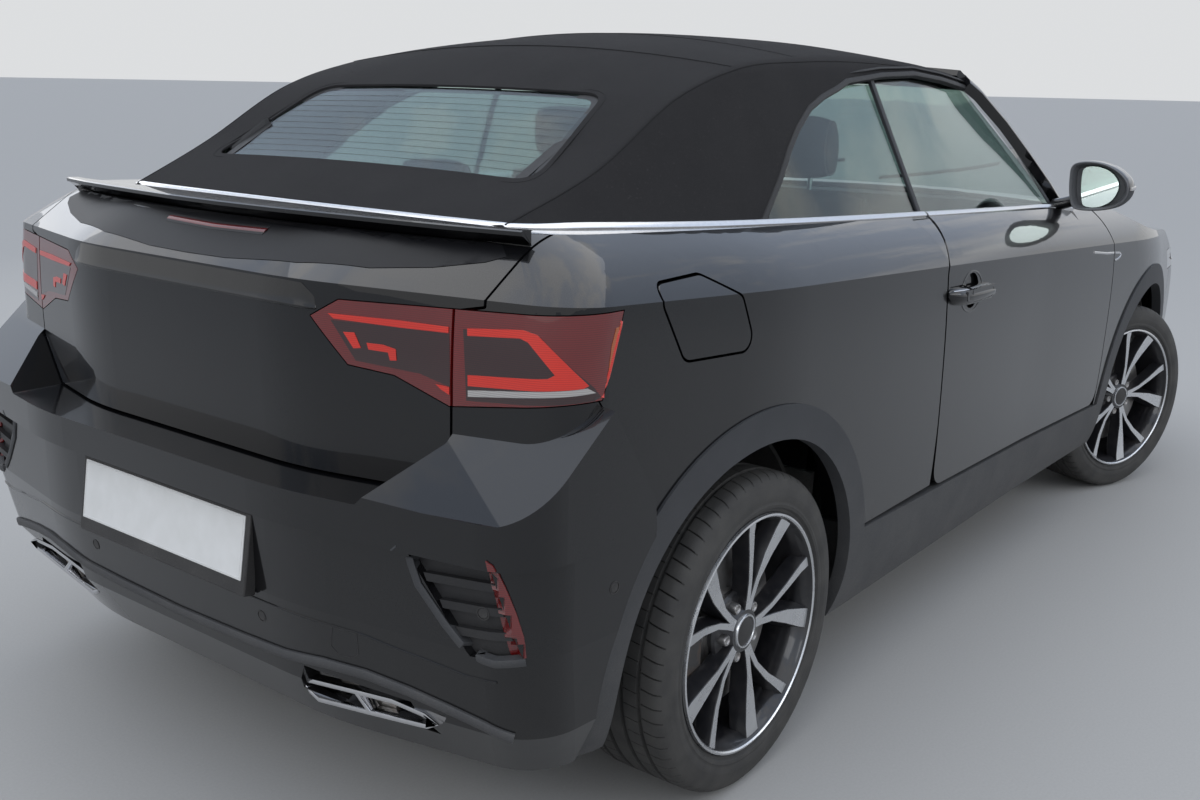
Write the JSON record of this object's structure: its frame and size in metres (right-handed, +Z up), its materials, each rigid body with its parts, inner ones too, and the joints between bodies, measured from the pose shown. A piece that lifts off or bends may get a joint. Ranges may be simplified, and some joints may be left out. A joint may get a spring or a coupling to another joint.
{
  "type": "compact suv convertible",
  "caption": "Compact raised car with a long flat-sided body, tall belt line, folding cloth roof, frameless doors and a short tail.",
  "frame": {"origin": "on the ground, in the middle of the overall length and width", "axes": "+X forward along the length, +Y to the driver's left, +Z up"},
  "size_m": [4.2705, 1.9896, 1.5237],
  "materials": {
    "black_gloss": "gloss black plastic",
    "cladding": "grained dark grey plastic",
    "cloth": "charcoal woven roof cloth",
    "dash": "soft dark trim",
    "glass": "tinted glass",
    "iron": "cast iron",
    "lamp_clear": "clear lens",
    "lamp_red": "red lens",
    "paint": "gloss black paint",
    "rear_glass": "green tinted glass with heater lines",
    "rim": "machined aluminium with dark pockets",
    "steel": "raw steel",
    "tyre": "tyre rubber",
    "underside": "satin black underseal",
    "upholstery": "dark leather"
  },
  "bodies": {
    "body": {"underbody": "underside", "sills": "underside", "cladding_left": "cladding", "cladding_right": "cladding", "quarter_left": "paint", "quarter_right": "paint", "wing_left": "paint", "wing_right": "paint", "front_bumper": "paint", "grilles": "black_gloss", "headlamps": "lamp_clear", "cowl": "cladding", "windscreen_frame": "black_gloss", "windscreen": "glass", "soft_top": "cloth", "rear_window": "rear_glass", "quarter_glass": "glass", "rear_bumper": "paint", "rear_valance": "black_gloss", "vents": "cladding", "exhaust": "steel", "tail_lamps": "lamp_red", "dashboard": "dash", "front_seats": "upholstery", "rear_seat": "upholstery", "engine_block": "iron", "fuel_tank": "cladding", "front_suspension": "steel", "rear_suspension": "steel", "rear_deck": "underside"},
    "door_left": {"door_left": "paint", "door_glass_left": "glass", "mirror_left": "paint"},
    "door_right": {"door_right": "paint", "door_glass_right": "glass", "mirror_right": "paint"},
    "bonnet": {"bonnet": "paint"},
    "boot_lid": {"boot_lid": "paint", "boot_spoiler": "black_gloss", "lid_lamps": "lamp_red"},
    "fuel_flap": {"fuel_flap": "paint"},
    "knuckle_left": {"knuckle_left": "iron"},
    "knuckle_right": {"knuckle_right": "iron"},
    "wheel_front_left": {"tyre_front_left": "tyre", "rim_front_left": "rim"},
    "wheel_front_right": {"tyre_front_right": "tyre", "rim_front_right": "rim"},
    "wheel_rear_left": {"tyre_rear_left": "tyre", "rim_rear_left": "rim"},
    "wheel_rear_right": {"tyre_rear_right": "tyre", "rim_rear_right": "rim"},
    "steering_wheel": {"steering_wheel": "upholstery"}
  },
  "joints": [
    {"name": "steer_left", "type": "hinge", "parent": "body", "child": "knuckle_left", "pos_m": [1.267, 0.69, 0.331], "axis": [0, 0, 1], "range_deg": [-14, 51]},
    {"name": "steer_right", "type": "hinge", "parent": "body", "child": "knuckle_right", "pos_m": [1.267, -0.69, 0.331], "axis": [0, 0, 1], "range_deg": [-14, 51]},
    {"name": "steering_turn", "type": "hinge", "parent": "body", "child": "steering_wheel", "pos_m": [0.335, 0.37, 0.88], "axis": [-0.9063, 0, 0.4226], "range_deg": [-198, 716]},
    {"name": "spin_front_left", "type": "hinge", "parent": "knuckle_left", "child": "wheel_front_left", "pos_m": [1.29375, 0.76857, 0.331], "axis": [0.3223, 0.9466, 0], "continuous": true},
    {"name": "spin_front_right", "type": "hinge", "parent": "knuckle_right", "child": "wheel_front_right", "pos_m": [1.24025, -0.76857, 0.331], "axis": [0.3223, 0.9466, 0], "continuous": true},
    {"name": "spin_rear_left", "type": "hinge", "parent": "body", "child": "wheel_rear_left", "pos_m": [-1.363, 0.773, 0.331], "axis": [0, 1, 0], "continuous": true},
    {"name": "spin_rear_right", "type": "hinge", "parent": "body", "child": "wheel_rear_right", "pos_m": [-1.363, -0.773, 0.331], "axis": [0, 1, 0], "continuous": true},
    {"name": "door_left_hinge", "type": "hinge", "parent": "body", "child": "door_left", "pos_m": [0.83, 0.879, 0.7], "axis": [0, 0, -1], "range_deg": [0, 66]},
    {"name": "door_right_hinge", "type": "hinge", "parent": "body", "child": "door_right", "pos_m": [0.83, -0.879, 0.7], "axis": [0, 0, 1], "range_deg": [0, 66]},
    {"name": "bonnet_hinge", "type": "hinge", "parent": "body", "child": "bonnet", "pos_m": [0.68, 0, 1.028], "axis": [0, -1, 0], "range_deg": [0, 52]},
    {"name": "boot_hinge", "type": "hinge", "parent": "body", "child": "boot_lid", "pos_m": [-1.775, 0, 1.14], "axis": [0, 1, 0], "range_deg": [0, 66]},
    {"name": "fuel_flap_hinge", "type": "hinge", "parent": "body", "child": "fuel_flap", "pos_m": [-1.43, -0.893, 1], "axis": [0, 0, 1], "range_deg": [0, 80]}
  ],
  "couplings": [
    {"joint": "steer_right", "follows": "steer_left", "ratio": 1},
    {"joint": "steering_turn", "follows": "steer_left", "ratio": 14}
  ]
}
